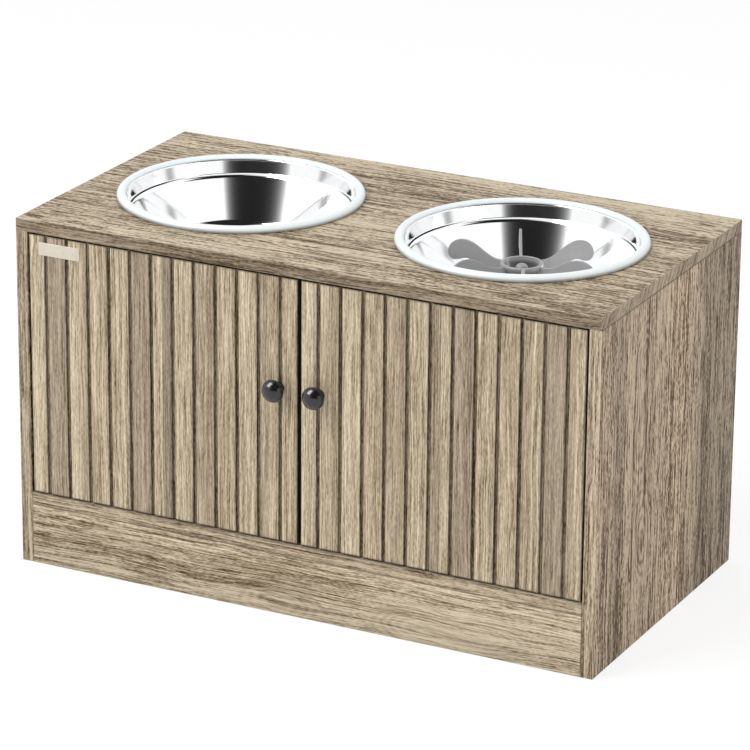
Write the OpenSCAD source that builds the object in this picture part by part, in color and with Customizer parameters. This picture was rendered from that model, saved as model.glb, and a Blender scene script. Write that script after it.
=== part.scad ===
// Elevated pet feeder: a low cabinet with two hinged doors and two lift-out bowls.
// Origin: middle of the whole outline, on the floor. +X is to the right, +Y to the back, +Z up.

/* [Cabinet] */
// Overall width
cabinet_w = 600; // [560:1:700]
// Depth from the front edges to the rear edges
cabinet_d = 320; // [290:1:400]
// Height of the top board's surface above the floor
cabinet_h = 345; // [300:1:450]
// Thickness of the top, bottom, side and plinth boards
board_t = 12; // [12:0.5:16]
// Height of the plinth below the bottom board
plinth_h = 60; // [50:1:90]
// Thickness of the back panel
back_t = 3; // [2.5:0.1:4]
// Distance from the cabinet's rear edges to the back panel
back_inset = 6; // [4:0.5:12]
// Depth of the grooves that hold the back panel
groove_d = 4; // [3:0.5:5]
// How far the back panel reaches below the bottom board
back_lap = 30; // [20:1:40]

/* [Doors] */
// Thickness of a door
door_t = 12; // [10:0.5:14]
// How far a door's face sits behind the cabinet's front edges
door_recess = 0.5; // [0:0.1:2]
// Gap between a door and the side board
side_gap = 2; // [1.5:0.1:3]
// Gap between the two doors
centre_gap = 3.6; // [2:0.1:6]
// Gap above and below a door
end_gap = 1.6; // [1.2:0.1:2.5]
// Number of grooves in a door's face
groove_n = 12; // [6:1:14]
// Width of a groove
groove_w = 3; // [1.5:0.1:5]
// Depth of a groove
groove_cut = 2; // [0.5:0.1:3]
// From a door's edge to the middle of the first groove
end_slat = 17.8; // [14:0.1:24]
// Width of the blank label plate
plate_w = 44; // [30:1:50]
// Height of the blank label plate
plate_h = 12.5; // [10:0.5:20]
// Thickness of the blank label plate
plate_t = 0.6; // [0.4:0.1:1]
// From the door's outer edge to the label plate
plate_side = 10.5; // [6:0.5:20]
// From the door's top edge to the label plate
plate_drop = 6.5; // [5:0.5:20]

/* [Knobs] */
// Diameter of a knob's head
knob_d = 22; // [18:0.5:30]
// How far a knob stands out from its door
knob_len = 20; // [16:0.5:32]
// Diameter of a knob's foot
knob_foot_d = 11; // [9:0.5:16]
// Diameter of a knob's neck
knob_neck_d = 8.5; // [7:0.5:12]
// From the door's free edge to the knob's axis
knob_inset = 19; // [14:0.5:30]
// From the top board's surface down to the knob's axis
knob_drop = 120; // [70:1:160]
// Diameter of the knob's screw
knob_screw_d = 4; // [3:0.5:5]

/* [Pivots] */
// Diameter of a door's pivot pin
pivot_d = 5; // [4:0.5:6]
// From the door's outer edge to the pivot's axis
pivot_inset = 12; // [11:0.5:16]
// Length of a pivot pin inside the door
pivot_grip = 18; // [12:1:30]
// Length of a pivot pin inside its bushing
pivot_reach = 7; // [5:0.5:8]
// Outer diameter of a bushing's barrel
bush_d = 8; // [7.5:0.5:9]
// Diameter of a bushing's flange
bush_flange_d = 11; // [10:0.5:13]

/* [Catches] */
// Width of a catch over its ears
catch_w = 46; // [42:1:60]
// Width of a catch's middle block
catch_block_w = 27; // [24:1:30]
// Depth of a catch, front to back
catch_d = 16; // [14:1:24]
// Height of a catch below the top board
catch_h = 14; // [13:0.5:20]
// From the cabinet's middle to a catch's middle
catch_x = 34; // [30:1:60]
// Height of a strike plate
strike_h = 11; // [9:0.5:12]
// Thickness of a strike plate
strike_t = 1.2; // [0.8:0.1:2]

/* [Bowls] */
// Distance between the two bowls' centres
bowl_spacing = 295; // [280:1:310]
// Inside radius of a bowl's mouth
bowl_r = 108.5; // [98:0.5:112]
// Depth from the rim flange to the bowl's floor
bowl_depth = 63; // [52:0.5:75]
// Thickness of the bowl's steel
sheet_t = 0.8; // [0.6:0.1:1]
// Height of the upright band under the rim
band_h = 13.5; // [10:0.5:20]
// Width of the shoulder below the band
shoulder_w = 5; // [4:0.5:9]
// Drop of the shoulder
shoulder_drop = 5.5; // [3:0.5:10]
// Radius of the bend between band and shoulder
shoulder_bend = 0.8; // [0.6:0.1:1.5]
// Radius of the roll between shoulder and lower wall
shoulder_roll = 4.6; // [1.2:0.1:6]
// Radius where the lower wall meets the floor's rounding
base_r = 89.5; // [84:0.5:90]
// Radius of the rounding between wall and floor
floor_fillet = 12; // [8:0.5:16]
// Width of a rim ring
ring_w = 9.5; // [8:0.5:14]
// Height of a rim ring
ring_h = 6.5; // [5:0.1:9]
// Height of the flange's underside inside the ring
flange_lift = 2.4; // [1.6:0.1:3]

/* [Slow feeder] */
// Height of the hub's rim above the bowl's floor
hub_rise = 40; // [36:0.5:44]
// Outer diameter of the hub's lip
lip_d = 40; // [38:0.5:44]
// Thickness of the hub's lip
lip_t = 2.2; // [1.5:0.1:3]
// Outer diameter of the hub's wall
hub_d = 37; // [35:0.5:37]
// Thickness of the hub's wall
hub_wall = 1.6; // [1.2:0.1:2.2]
// Height of the hub
hub_h = 30; // [26:0.5:31]
// Depth of the cup inside the hub
cup_depth = 16; // [12:0.5:18]
// Diameter of the domed boss in the cup
boss_d = 12; // [11:0.5:14]
// Number of fins
fin_n = 6; // [4:1:8]
// Thickness of a fin
fin_t = 2.2; // [1.6:0.1:3]
// Reach of a fin from the hub's axis
fin_reach = 78; // [66:0.5:80]
// Height of a fin's crest above the hub's rim
fin_crest = 12; // [6:0.5:13]
// Direction of the first fin, counted from +X
fin_turn = 56.5; // [0:0.5:60]
// Diameter of the suction cup
suction_d = 42; // [34:1:50]

/* [Board joints] */
// From the front and rear edges to the cam fittings
cam_margin = 45; // [40:1:60]
// From the front and rear edges to the dowels
dowel_margin = 80; // [70:1:110]
// Diameter of a cam disc
cam_d = 12; // [11:0.5:14]
// Thickness of a cam disc
cam_t = 9.5; // [8:0.5:10]
// From the joint to the cam disc's centre
cam_reach = 24; // [20:1:30]
// Diameter of a dowel
dowel_d = 6; // [5:0.5:7]
// Length of a dowel
dowel_l = 25; // [20:1:32]
// Edge length of a corner block
block_s = 16; // [14:1:20]
// Height of a corner block
block_h = 20; // [18:1:24]
// Diameter of the small wood screws
screw_d = 3; // [2.5:0.5:3.5]

/* [Clearances] */
// Radial clearance of a turning pin
run_clear = 0.05; // [0.02:0.01:0.08]
// Radial clearance of a fitted plug, screw or dowel
fit_clear = 0.05; // [0.02:0.01:0.1]
// Gap between a lifted piece and its seat
seat_gap = 0.2; // [0.1:0.05:0.3]
// Gap between a catch and its strike plate, and under a door's end
touch_gap = 0.3; // [0.2:0.05:0.5]
// Gap between a bowl's wall and the cut-out round it
bowl_clear = 1.5; // [1:0.1:2.5]

/* [Hidden] */
$fn = 96;
eps = 0.01;
left = -1;
right = 1;

// Cabinet planes
knob_out = knob_len - door_recess;
front_y = (knob_out - cabinet_d) / 2;
back_y = front_y + cabinet_d;
panel_y = back_y - back_inset - back_t;
under_top = cabinet_h - board_t;
floor_top = plinth_h + board_t;
inner_w = cabinet_w - 2 * board_t;
side_mid = (cabinet_w - board_t) / 2;
groove_slack = 0.15;
panel_z = plinth_h - back_lap;
panel_top = under_top + groove_d - groove_slack;

// Doors, given for the right-hand one
door_x = centre_gap / 2;
door_w = inner_w / 2 - side_gap - door_x;
door_y = front_y + door_recess;
door_back = door_y + door_t;
door_z = floor_top + end_gap;
door_h = under_top - end_gap - door_z;
door_top = door_z + door_h;
groove_pitch = (door_w - 2 * end_slat) / (groove_n - 1);
knob_x = door_x + knob_inset;
knob_z = cabinet_h - knob_drop;
pivot_x = door_x + door_w - pivot_inset;
pivot_y = door_y + door_t / 2;

// Pivot bushings: the flange fills the gap at the door's end but for the touch gap
bush_flange_t = end_gap - touch_gap;
bush_l = pivot_reach + 1;

// Screws: heads, and how deep the points go into a board
screw_head_d = 2 * screw_d;
screw_head_t = 0.65 * screw_d;
screw_bite = 9;
knob_screw_bite = 10;
knob_head_d = 2 * knob_screw_d;
knob_head_t = 0.6 * knob_screw_d;
pilot_spare = 0.5;

// Catches
catch_y = door_back + strike_t + touch_gap;
pole_out = 0.5;
pole_t = 1.2;
magnet_w = 20;
magnet_h = 5;
magnet_d = 9;
magnet_set = 1.5;
ear_t = 3;
catch_slack = 0.1;
pocket_h = magnet_h + 2 * pole_t + 2 * catch_slack;
pocket_z = under_top - catch_h / 2 - 1;
strike_w = catch_block_w;
ear_screw_x = (catch_w + catch_block_w) / 4;

// Bowls: the ring rests on the top board and grips the flange in a slot
ring_z = cabinet_h + seat_gap;
crest_z = ring_z + ring_h;
flange_z = ring_z + flange_lift;
rim_z = flange_z + sheet_t;
ring_in = bowl_r + 0.3;
ring_out = ring_in + ring_w;
flange_out = ring_in + 0.65 * ring_w;
bowl_floor_z = rim_z - bowl_depth;
mouth_fillet = 2;
band_taper = 1;
shoulder_r = bowl_r - band_taper - shoulder_w;
shoulder_z = rim_z - band_h - shoulder_drop;
// Slopes from upright: from the bend to the roll, and down the lower wall to the floor's rounding
roll = min(shoulder_roll, 0.98 * shoulder_drop - shoulder_bend);
shoulder_run = [shoulder_w - shoulder_bend - roll, shoulder_drop];
shoulder_tilt = atan2(shoulder_run[0], shoulder_run[1]) + asin((shoulder_bend + roll) / norm(shoulder_run));
wall_run = [shoulder_r + roll - base_r + floor_fillet, shoulder_z - bowl_floor_z - floor_fillet];
wall_tilt = atan2(wall_run[0], wall_run[1]) - asin((roll + floor_fillet) / norm(wall_run));
cut_r = bowl_r + sheet_t + bowl_clear;

// Slow feeder
hub_z = bowl_floor_z + hub_rise;
hub_floor_t = 2;
hub_low = hub_z - hub_h;
cup_z = hub_z - cup_depth;
boss_top = hub_z - 1;
nipple_d = 7;
nipple_l = 10;
fin_droop = 2.5;
fin_tip_drop = 7;
fin_root_h = cup_depth + hub_floor_t - 1;
fin_steps = 8;

// Board joints
cam_ys = [front_y + cam_margin, back_y - cam_margin];
dowel_ys = [front_y + dowel_margin, back_y - dowel_margin];
plinth_ys = [front_y + board_t / 2, panel_y - board_t / 2];
dowel_in_face = dowel_l / 3;
dowel_in_edge = dowel_l - dowel_in_face;
bolt_d = 5;
bolt_bite = 8.5;
bolt_shank_d = 4;
bolt_head_d = 6.4;
bolt_head_t = 3;
bolt_way_d = 7;
bolt_end = cam_reach + 2.5;
back_screw_n = 4;
block_screw_d = 3.5;
block_screw_low = block_h - 6;
block_screw_high = 6;

// Shapes

// A box between two corners
module box(low, high) {
    translate(low) cube(high - low);
}

// A straight pin along +Z from z0 to z1 with small chamfers
module pin(d, z0, z1, chamfer = 0.4) {
    translate([0, 0, z0]) rotate_extrude() polygon([
        [0, 0], [d / 2 - chamfer, 0], [d / 2, chamfer], [d / 2, z1 - z0 - chamfer],
        [d / 2 - chamfer, z1 - z0], [0, z1 - z0]
    ]);
}

// A round hole along +Z from z0 to z1
module hole(d, z0, z1) {
    translate([0, 0, z0]) cylinder(d = d, h = z1 - z0);
}

// A pan-head wood screw: head above z = 0, shaft below it
module pan_screw(d, l, head_d, head_t) {
    hole(d, -l, eps);
    difference() {
        rotate_extrude() polygon([
            [0, 0], [head_d / 2, 0], [head_d / 2, head_t * 0.5], [head_d / 2 - head_t * 0.5, head_t],
            [0, head_t]
        ]);
        for (a = [0, 90]) rotate([0, 0, a])
            box([-head_d * 0.3, -head_d * 0.06, head_t * 0.4], [head_d * 0.3, head_d * 0.06, head_t + 1]);
    }
}

// Mirrors a right-hand piece to the left
module hand(s) {
    if (s == left) mirror([1, 0, 0]) children();
    else children();
}

// Turns +Z to -Y, for pieces on a door's face
module facing_front(x, y, z) {
    translate([x, y, z]) rotate([90, 0, 0]) children();
}

// Turns +Z to +Y, for pieces on a door's back
module facing_back(x, y, z) {
    translate([x, y, z]) rotate([-90, 0, 0]) children();
}

// Board joints: z = 0 is the joint, +Z goes into the board's face, -Z into the other board's edge,
// and -X points out of the face that takes the cam disc
module on_top_joints(ys) {
    for (s = [left, right], y = ys)
        translate([s * side_mid, y, under_top]) rotate([0, 0, s == left ? 180 : 0]) children();
}

module on_side_joints(ys, z) {
    for (s = [left, right], y = ys)
        translate([s * inner_w / 2, y, z]) rotate([0, 0, s == left ? 180 : 0])
            rotate([180, 0, 0]) rotate([0, 90, 0]) children();
}

module on_all_cam_joints() {
    on_top_joints(cam_ys) children();
    on_side_joints(cam_ys, plinth_h + board_t / 2) children();
}

module on_all_dowel_joints() {
    on_top_joints(dowel_ys) children();
    on_side_joints(dowel_ys, plinth_h + board_t / 2) children();
    on_side_joints(plinth_ys, plinth_h / 2) children();
}

module cam_holes() {
    hole(bolt_d + 2 * fit_clear, 0, bolt_bite + pilot_spare);
    hole(bolt_way_d, -bolt_end - eps, eps);
    translate([-board_t / 2, 0, -cam_reach]) rotate([0, 90, 0])
        hole(cam_d + 2 * fit_clear, -eps, cam_t + 0.1);
}

module dowel_holes() {
    hole(dowel_d + 2 * fit_clear, -dowel_in_edge - pilot_spare, dowel_in_face + pilot_spare);
}

module board_joint_holes() {
    on_all_cam_joints() cam_holes();
    on_all_dowel_joints() dowel_holes();
}

// Corner blocks behind the plinth boards, one at a time: turned so that +X is the side board
// and -Y the plinth board, with the block's corner at the origin under the bottom board
module on_block_corners() {
    for (s = [left, right]) {
        hand(s) translate([inner_w / 2, front_y + board_t, plinth_h]) children();
        hand(s) translate([inner_w / 2, panel_y - board_t, plinth_h]) mirror([0, 1, 0]) children();
    }
}

module on_block_screws() {
    translate([-block_s, block_s / 2, -block_screw_high]) rotate([0, -90, 0]) children();
    translate([-block_s / 2, block_s, -block_screw_low]) rotate([-90, 0, 0]) children();
}

module block_screw_holes() {
    on_block_corners() on_block_screws()
        hole(block_screw_d + 2 * fit_clear, -block_s - screw_bite - pilot_spare, 1);
}

module on_back_screws() {
    for (i = [0 : back_screw_n - 1])
        facing_back((i - (back_screw_n - 1) / 2) * inner_w / back_screw_n, panel_y + back_t,
            plinth_h - back_lap / 2) children();
}

module back_screw_holes() {
    on_back_screws() hole(screw_d + 2 * fit_clear, -back_t - screw_bite - pilot_spare, 1);
}

// Cabinet boards

module back_groove() {
    box([-inner_w / 2 - groove_d, panel_y - groove_slack, -1],
        [inner_w / 2 + groove_d, panel_y + back_t + groove_slack, under_top + groove_d]);
}

module bushing_holes() {
    for (s = [left, right]) hand(s) translate([pivot_x, pivot_y, 0])
        hole(bush_d + 2 * fit_clear, floor_top - bush_l - 0.2, under_top + bush_l + 0.2);
}

module top_board() {
    color([0.68, 0.59, 0.46]) difference() {
        box([-cabinet_w / 2, front_y, under_top], [cabinet_w / 2, back_y, cabinet_h]);
        for (s = [left, right]) translate([s * bowl_spacing / 2, 0, 0])
            translate([0, front_y + cabinet_d / 2, 0]) hole(2 * cut_r, under_top - 1, cabinet_h + 1);
        back_groove();
        bushing_holes();
        board_joint_holes();
        on_catch_screws() hole(screw_d + 2 * fit_clear, -ear_t - screw_bite - pilot_spare, 0);
    }
}

module side_board(s) {
    color([0.59, 0.52, 0.43]) difference() {
        hand(s) box([inner_w / 2, front_y, 0], [cabinet_w / 2, back_y, under_top]);
        back_groove();
        board_joint_holes();
        block_screw_holes();
    }
}

module bottom_board() {
    color([0.60, 0.53, 0.45]) difference() {
        box([-inner_w / 2, front_y, plinth_h], [inner_w / 2, panel_y, floor_top]);
        bushing_holes();
        board_joint_holes();
    }
}

module plinth(y) {
    color([0.67, 0.61, 0.51]) difference() {
        box([-inner_w / 2, y, 0], [inner_w / 2, y + board_t, plinth_h]);
        on_all_dowel_joints() dowel_holes();
        block_screw_holes();
        back_screw_holes();
    }
}

module back_panel() {
    half = inner_w / 2 + groove_d - groove_slack;
    color([0.55, 0.48, 0.38]) difference() {
        box([-half, panel_y, panel_z], [half, panel_y + back_t, panel_top]);
        back_screw_holes();
    }
}

// Doors

module door(s) {
    color([0.66, 0.58, 0.46]) hand(s) difference() {
        box([door_x, door_y, door_z], [door_x + door_w, door_back, door_top]);
        for (i = [0 : groove_n - 1]) translate([door_x + end_slat + i * groove_pitch, 0, 0])
            box([-groove_w / 2, door_y - 1, door_z - 1], [groove_w / 2, door_y + groove_cut, door_top + 1]);
        translate([pivot_x, pivot_y, 0]) {
            hole(pivot_d + 2 * fit_clear, door_z - 1, door_z + pivot_grip + pilot_spare);
            hole(pivot_d + 2 * fit_clear, door_top - pivot_grip - pilot_spare, door_top + 1);
        }
        facing_front(knob_x, door_y, knob_z) hole(knob_screw_d + 2 * fit_clear, -door_t - 1, 1);
        facing_back(catch_x, door_back, pocket_z)
            hole(screw_d + 2 * fit_clear, -screw_bite - pilot_spare, 1);
    }
}

module label_plate() {
    x = -door_x - door_w + plate_side;
    z = door_top - plate_drop - plate_h;
    color([0.84, 0.80, 0.75])
        box([x, door_y - plate_t, z], [x + plate_w, door_y, z + plate_h]);
}

// Outline of a knob from its foot to the middle of its face: radius and height
function knob_outline() =
    let (foot_h = knob_len * 0.06, neck_h = knob_len * 0.34, head_h = knob_len * 0.6,
         dome = knob_len - head_h, foot = knob_foot_d / 2, neck = knob_neck_d / 2, head = knob_d / 2)
    concat(
        [[0, 0], [foot, 0], [foot, foot_h]],
        [for (t = [0.2 : 0.2 : 1]) [foot + (neck - foot) * sin(90 * t), foot_h + (neck_h - foot_h) * t]],
        [for (t = [0.2 : 0.2 : 1])
            [neck + (head - neck) * (1 - cos(90 * t)), neck_h + (head_h - neck_h) * sin(90 * t)]],
        [for (a = [15 : 15 : 75]) [head * cos(a), head_h + dome * sin(a)]],
        [[0, knob_len]]
    );

module knob(s) {
    color([0.10, 0.10, 0.11]) hand(s) facing_front(knob_x, door_y, knob_z) difference() {
        rotate_extrude() polygon(knob_outline());
        hole(knob_screw_d + 2 * fit_clear, -1, knob_screw_bite + pilot_spare);
    }
}

module knob_screw(s) {
    color([0.75, 0.75, 0.76]) hand(s) facing_back(knob_x, door_back, knob_z)
        pan_screw(knob_screw_d, door_t + knob_screw_bite, knob_head_d, knob_head_t);
}

module pivot_pins(s) {
    color([0.72, 0.72, 0.74]) hand(s) translate([pivot_x, pivot_y, 0]) {
        pin(pivot_d, floor_top - pivot_reach, door_z + pivot_grip);
        pin(pivot_d, door_top - pivot_grip, under_top + pivot_reach);
    }
}

// A bushing whose flange rests on the board at z = 0, with its barrel below
module bushing() {
    difference() {
        union() {
            hole(bush_flange_d, 0, bush_flange_t);
            hole(bush_d, -bush_l, eps);
        }
        hole(pivot_d + 2 * run_clear, -pivot_reach - 0.3, bush_flange_t + 1);
    }
}

module pivot_bushings() {
    color([0.93, 0.93, 0.90]) for (s = [left, right]) hand(s) translate([pivot_x, pivot_y, 0]) {
        translate([0, 0, floor_top]) bushing();
        translate([0, 0, under_top]) mirror([0, 0, 1]) bushing();
    }
}

// Catches

module on_catches() {
    for (s = [left, right]) hand(s) translate([catch_x, catch_y, 0]) children();
}

module on_catch_screws() {
    on_catches() for (e = [left, right])
        translate([e * ear_screw_x, catch_d / 2, under_top - ear_t]) mirror([0, 0, 1]) children();
}

module catch_cases() {
    color([0.20, 0.20, 0.21]) difference() {
        on_catches() difference() {
            union() {
                box([-catch_block_w / 2, pole_out, under_top - catch_h],
                    [catch_block_w / 2, catch_d, under_top]);
                box([-catch_w / 2, 1, under_top - ear_t], [catch_w / 2, catch_d, under_top]);
            }
            box([-magnet_w / 2 - catch_slack, -1, pocket_z - pocket_h / 2],
                [magnet_w / 2 + catch_slack, magnet_set + magnet_d + catch_slack, pocket_z + pocket_h / 2]);
        }
        on_catch_screws() hole(screw_d + 2 * fit_clear, -ear_t - 1, 1);
    }
}

module catch_magnets() {
    color([0.30, 0.30, 0.32]) on_catches()
        box([-magnet_w / 2, magnet_set, pocket_z - magnet_h / 2],
            [magnet_w / 2, magnet_set + magnet_d, pocket_z + magnet_h / 2]);
}

module catch_pole_plates() {
    color([0.70, 0.70, 0.72]) on_catches() for (z = [-magnet_h / 2 - pole_t, magnet_h / 2])
        box([-magnet_w / 2, 0, pocket_z + z], [magnet_w / 2, magnet_set + magnet_d, pocket_z + z + pole_t]);
}

module catch_screws() {
    color([0.75, 0.75, 0.76]) on_catch_screws()
        pan_screw(screw_d, ear_t + screw_bite, screw_head_d, screw_head_t);
}

// Countersink of the strike plate's hole, flush with the plate's outer face
module countersink(spare) {
    translate([0, 0, strike_t * 0.25])
        cylinder(d1 = screw_d + 2 * spare, d2 = screw_d + 1.5 * strike_t + 2 * spare, h = strike_t * 0.75);
}

module strike_plate(s) {
    color([0.70, 0.70, 0.72]) hand(s) facing_back(catch_x, door_back, pocket_z) difference() {
        box([-strike_w / 2, -strike_h / 2, 0], [strike_w / 2, strike_h / 2, strike_t]);
        hole(screw_d + 2 * fit_clear, -1, strike_t);
        countersink(fit_clear);
        hole(screw_d + 1.5 * strike_t + 2 * fit_clear, strike_t - eps, strike_t + 1);
    }
}

module strike_screw(s) {
    color([0.75, 0.75, 0.76]) hand(s) facing_back(catch_x, door_back, pocket_z) difference() {
        union() {
            hole(screw_d, -screw_bite, strike_t * 0.5);
            countersink(0);
        }
        for (a = [0, 90]) rotate([0, 0, a])
            box([-screw_d * 0.4, -screw_d * 0.08, strike_t * 0.5], [screw_d * 0.4, screw_d * 0.08, strike_t + 1]);
    }
}

// Bowls

// Inner surface of a bowl, from the flange's edge to the middle of the floor: radius and height
function bowl_inside() = concat(
    [[flange_out, rim_z]],
    [for (a = [90 : 22.5 : 180]) [bowl_r + mouth_fillet * (1 + cos(a)), rim_z + mouth_fillet * (sin(a) - 1)]],
    [for (k = [0 : 5]) let (a = shoulder_tilt * k / 5)
        [shoulder_r + shoulder_w - shoulder_bend * (1 - cos(a)),
         shoulder_z + shoulder_drop - shoulder_bend * sin(a)]],
    [for (k = [0 : 6]) let (a = shoulder_tilt + (wall_tilt - shoulder_tilt) * k / 6)
        [shoulder_r + roll * (1 - cos(a)), shoulder_z + roll * sin(a)]],
    [for (k = [0 : 5]) let (a = wall_tilt + (90 - wall_tilt) * k / 5)
        [base_r - floor_fillet + floor_fillet * cos(a), bowl_floor_z + floor_fillet * (1 - sin(a))]],
    [[0, bowl_floor_z]]
);

// Direction square to a line of points at point i, to its left
function square_to(p, i) =
    let (a = p[max(i - 1, 0)], b = p[min(i + 1, len(p) - 1)], d = (b - a) / norm(b - a))
    [-d[1], d[0]];

// A wall of even thickness t along a line of points
function wall_outline(p, t) = concat(
    p,
    [for (i = [len(p) - 1 : -1 : 0]) i == len(p) - 1 ? p[i] - [0, t] : p[i] + t * square_to(p, i)]
);

module at_bowl(s) {
    translate([s * bowl_spacing / 2, front_y + cabinet_d / 2, 0]) children();
}

module bowl(s) {
    color([0.80, 0.81, 0.82]) at_bowl(s) rotate_extrude($fn = 128)
        polygon(wall_outline(bowl_inside(), sheet_t));
}

// Half-round section of a rim ring, with the slot that takes the flange
function ring_outline() =
    let (mid = (ring_in + ring_out) / 2, half = ring_w / 2, slot = 0.1, lip_z = rim_z + slot)
    concat(
        [for (a = [0 : 15 : 90]) [mid + half * cos(a), ring_z + ring_h * (0.25 + 0.75 * sin(a))]],
        [for (a = [105 : 15 : 180]) [mid + half * cos(a), lip_z + (crest_z - lip_z) * sin(a)]],
        [[flange_out + slot, lip_z], [flange_out + slot, flange_z - slot],
         [cut_r - 0.5, flange_z - slot], [cut_r - 0.5, ring_z], [ring_out - 1, ring_z]]
    );

module rim_ring(s) {
    color([0.91, 0.93, 0.93]) at_bowl(s) rotate_extrude($fn = 128) polygon(ring_outline());
}

// Slow feeder insert

// Value that eases from a to b as t goes from 0 to 1
function ease(a, b, t) = a + (b - a) * (1 - cos(180 * t)) / 2;

// Outline of one fin: distance from the hub's axis, and height above the hub's rim
function fin_outline() =
    let (root = hub_d / 2 - hub_wall / 2, start = hub_d / 2 + 6, crest = fin_reach * 0.77,
         tip = fin_reach * 0.92, notch = fin_reach * 0.74, foot = start + 8)
    concat(
        [[root, -lip_t / 2]],
        [for (i = [0 : fin_steps])
            let (t = i / fin_steps) [start + (crest - start) * t, ease(-lip_t / 2, fin_crest, t)]],
        [for (a = [12 : 12 : 84])
            [crest + (fin_reach - crest) * sin(a), -fin_droop + (fin_crest + fin_droop) * cos(a)]],
        [for (a = [0 : 18 : 90])
            [tip + (fin_reach - tip) * cos(a), -fin_droop - fin_tip_drop * sin(a)]],
        [for (i = [1 : fin_steps])
            let (t = i / fin_steps) [tip + (notch - tip) * t, ease(-fin_droop - fin_tip_drop, -fin_crest / 2, t)]],
        [for (i = [1 : fin_steps])
            let (t = i / fin_steps) [notch + (foot - notch) * t, ease(-fin_crest / 2, -fin_root_h, t)]],
        [[root, -fin_root_h]]
    );

module fin() {
    rotate([90, 0, 0]) linear_extrude(fin_t, center = true) polygon(fin_outline());
}

// Section of the hub: wall, lip, floor and domed boss
function hub_outline() =
    let (out = hub_d / 2, in = hub_d / 2 - hub_wall, boss = boss_d / 2)
    concat(
        [[0, cup_z - hub_floor_t - hub_z], [in, cup_z - hub_floor_t - hub_z], [in, -hub_h], [out, -hub_h],
         [out, -lip_t], [lip_d / 2, -lip_t], [lip_d / 2, -lip_t * 0.3], [lip_d / 2 - lip_t * 0.3, 0],
         [in - 0.4, 0], [in, -0.4], [in, -cup_depth]],
        [[boss, -cup_depth]],
        [for (a = [0 : 15 : 75]) [boss * cos(a), -1 - boss * (1 - sin(a)) * 0.8]],
        [[0, -1]]
    );

module slow_feeder() {
    color([0.62, 0.62, 0.63]) at_bowl(right) translate([0, 0, hub_z]) difference() {
        union() {
            rotate_extrude() polygon(hub_outline());
            for (i = [0 : fin_n - 1]) rotate([0, 0, fin_turn + i * 360 / fin_n]) fin();
        }
        hole(nipple_d + 2 * fit_clear, -hub_h - 1, -cup_depth - hub_floor_t + nipple_l + pilot_spare);
    }
}

module suction_cup() {
    neck = nipple_d + 5;
    low = bowl_floor_z + seat_gap;
    neck_z = hub_z - cup_depth - hub_floor_t;
    color([0.82, 0.84, 0.85]) at_bowl(right) {
        rotate_extrude() polygon([
            [0, low + 3], [suction_d * 0.3, low + 2], [suction_d / 2 - 0.5, low], [suction_d / 2, low + 0.4],
            [suction_d * 0.34, low + 4.5], [neck / 2, low + 7], [neck / 2, neck_z],
            [nipple_d / 2, neck_z], [nipple_d / 2, neck_z + nipple_l - 1],
            [nipple_d / 2 - 1, neck_z + nipple_l], [0, neck_z + nipple_l]
        ]);
    }
}

// Board joints

module cam_bolts() {
    color([0.78, 0.74, 0.60]) on_all_cam_joints() {
        pin(bolt_d, 0, bolt_bite);
        hole(bolt_shank_d, -cam_reach, eps);
        hole(bolt_head_d, -cam_reach - bolt_head_t / 2, -cam_reach + bolt_head_t / 2);
    }
}

module cam_discs() {
    color([0.70, 0.70, 0.72]) on_all_cam_joints() difference() {
        translate([-board_t / 2, 0, -cam_reach]) rotate([0, 90, 0]) hole(cam_d, 0, cam_t);
        hole(bolt_way_d, -bolt_end, 0);
        for (a = [0, 90]) translate([-board_t / 2, 0, -cam_reach]) rotate([a, 0, 0])
            box([-1, -0.8, -cam_d * 0.3], [1.5, 0.8, cam_d * 0.3]);
    }
}

module dowels() {
    color([0.80, 0.68, 0.48]) on_all_dowel_joints() pin(dowel_d, -dowel_in_edge, dowel_in_face, 0.8);
}

module corner_blocks() {
    color([0.90, 0.89, 0.86]) difference() {
        on_block_corners() box([-block_s, 0, -block_h], [0, block_s, 0]);
        block_screw_holes();
    }
}

module corner_block_screws() {
    color([0.75, 0.75, 0.76]) on_block_corners() on_block_screws()
        pan_screw(block_screw_d, block_s + screw_bite, screw_head_d, screw_head_t);
}

module back_panel_screws() {
    color([0.75, 0.75, 0.76]) on_back_screws()
        pan_screw(screw_d, back_t + screw_bite, screw_head_d, screw_head_t);
}

top_board();
side_board(left);  // left_side
side_board(right);  // right_side
bottom_board();
plinth(front_y);  // front_plinth
plinth(panel_y - board_t);  // rear_plinth
back_panel();
door(left);  // left_door
door(right);  // right_door
label_plate();
knob(left);  // left_knob
knob(right);  // right_knob
knob_screw(left);  // left_knob_screw
knob_screw(right);  // right_knob_screw
pivot_pins(left);  // left_pivot_pins
pivot_pins(right);  // right_pivot_pins
pivot_bushings();
catch_cases();
catch_magnets();
catch_pole_plates();
catch_screws();
strike_plate(left);  // left_strike_plate
strike_plate(right);  // right_strike_plate
strike_screw(left);  // left_strike_screw
strike_screw(right);  // right_strike_screw
bowl(left);  // left_bowl
bowl(right);  // right_bowl
rim_ring(left);  // left_rim_ring
rim_ring(right);  // right_rim_ring
slow_feeder();
suction_cup();
cam_bolts();
cam_discs();
dowels();
corner_blocks();
corner_block_screws();
back_panel_screws();
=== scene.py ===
"""Looks of an elevated pet feeder: oak-print cabinet, plank doors, steel bowls and a slow-feeding insert."""
from math import asin, atan2, cos, degrees, hypot, pi, radians, sin

import bmesh
import bpy
from mathutils import Matrix, Vector


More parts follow.
